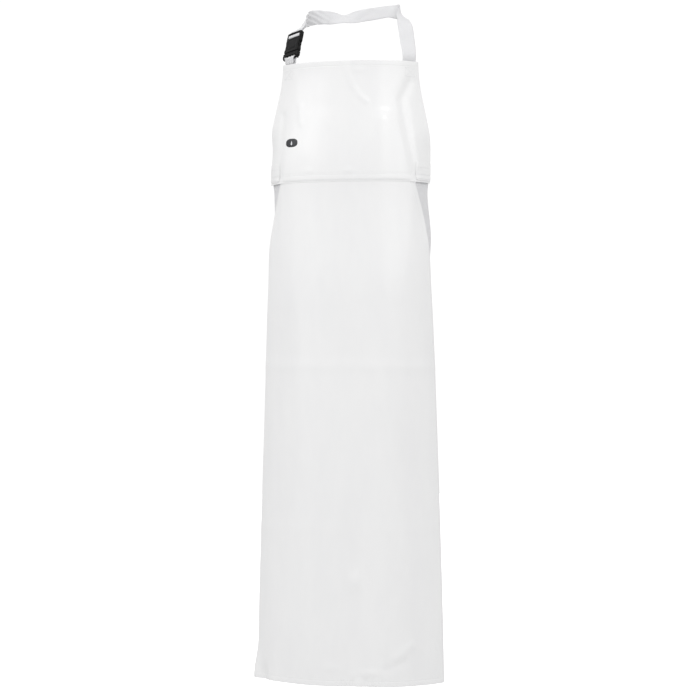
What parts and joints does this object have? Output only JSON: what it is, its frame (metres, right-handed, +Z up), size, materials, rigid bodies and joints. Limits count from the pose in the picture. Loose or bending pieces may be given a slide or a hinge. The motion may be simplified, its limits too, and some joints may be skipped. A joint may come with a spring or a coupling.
{
  "type": "butcher apron",
  "caption": "Long white coated bib apron with side wings, a lapped waist seam, a webbing neck strap and a waist strap, each closed by a side-release buckle.",
  "frame": {"origin": "inner face of the neck strap where it rests on the back of the wearer's neck", "axes": "+Z up, the apron's front faces -Y, +X is towards the wearer's left"},
  "size_m": [0.3832, 0.2133, 1.3622],
  "materials": {
    "coated_sheet": "smooth glossy coated fabric",
    "webbing": "woven polyester webbing",
    "thread": "matt sewing thread",
    "buckle_plastic": "fine-grained moulded plastic",
    "badge_film": "printed film",
    "label_cloth": "satin woven label"
  },
  "bodies": {
    "root": {"bib_panel": "coated_sheet", "skirt_panel": "coated_sheet", "seam_stitch_lower": "thread", "seam_stitch_upper": "thread", "left_waist_tab": "coated_sheet", "right_waist_tab": "coated_sheet", "left_tab_stitches": "thread", "right_tab_stitches": "thread", "chest_badge": "badge_film", "care_label": "label_cloth", "left_corner_patch": "coated_sheet", "right_corner_patch": "coated_sheet", "neck_strap": "webbing", "neck_strap_stitches": "thread", "neck_stub": "webbing", "neck_stub_stitches": "thread", "waist_strap_left": "webbing", "waist_strap_right": "webbing", "neck_buckle_plug": "buckle_plastic", "waist_buckle_plug": "buckle_plastic"},
    "neck_socket": {"neck_buckle_socket": "buckle_plastic"},
    "neck_arm_left": {"neck_buckle_arm_left": "buckle_plastic"},
    "neck_arm_right": {"neck_buckle_arm_right": "buckle_plastic"},
    "waist_socket": {"waist_buckle_socket": "buckle_plastic"},
    "waist_arm_left": {"waist_buckle_arm_left": "buckle_plastic"},
    "waist_arm_right": {"waist_buckle_arm_right": "buckle_plastic"}
  },
  "joints": [
    {"name": "neck_buckle_release", "type": "slide", "parent": "root", "child": "neck_socket", "axis": [0.0871, 0.4335, 0.897], "range_m": [0, 0.03], "deforming": ["neck_strap", "neck_buckle_arm_left", "neck_buckle_arm_right"]},
    {"name": "neck_arm_left_squeeze", "type": "hinge", "parent": "root", "child": "neck_arm_left", "pos_m": [-0.1054, -0.13494, -0.09715], "axis": [-0.5275, -0.7437, 0.4106], "range_deg": [0, 9], "stiffness_Nm_per_rad": 0.05},
    {"name": "neck_arm_right_squeeze", "type": "hinge", "parent": "root", "child": "neck_arm_right", "pos_m": [-0.13008, -0.12008, -0.10194], "axis": [0.5275, 0.7437, -0.4106], "range_deg": [0, 9], "stiffness_Nm_per_rad": 0.05},
    {"name": "waist_buckle_release", "type": "slide", "parent": "root", "child": "waist_socket", "axis": [-1, 0, 0], "range_m": [0, 0.03], "deforming": ["waist_strap_right", "waist_buckle_arm_left", "waist_buckle_arm_right"]},
    {"name": "waist_arm_left_squeeze", "type": "hinge", "parent": "root", "child": "waist_arm_left", "pos_m": [0.0179, -0.09616, -0.752], "axis": [0, 0, -1], "range_deg": [0, 9], "stiffness_Nm_per_rad": 0.05},
    {"name": "waist_arm_right_squeeze", "type": "hinge", "parent": "root", "child": "waist_arm_right", "pos_m": [0.0179, -0.05896, -0.752], "axis": [0, 0, 1], "range_deg": [0, 9], "stiffness_Nm_per_rad": 0.05}
  ],
  "couplings": [
    {"joint": "neck_arm_right_squeeze", "follows": "neck_arm_left_squeeze", "ratio": 1},
    {"joint": "waist_arm_right_squeeze", "follows": "waist_arm_left_squeeze", "ratio": 1}
  ]
}
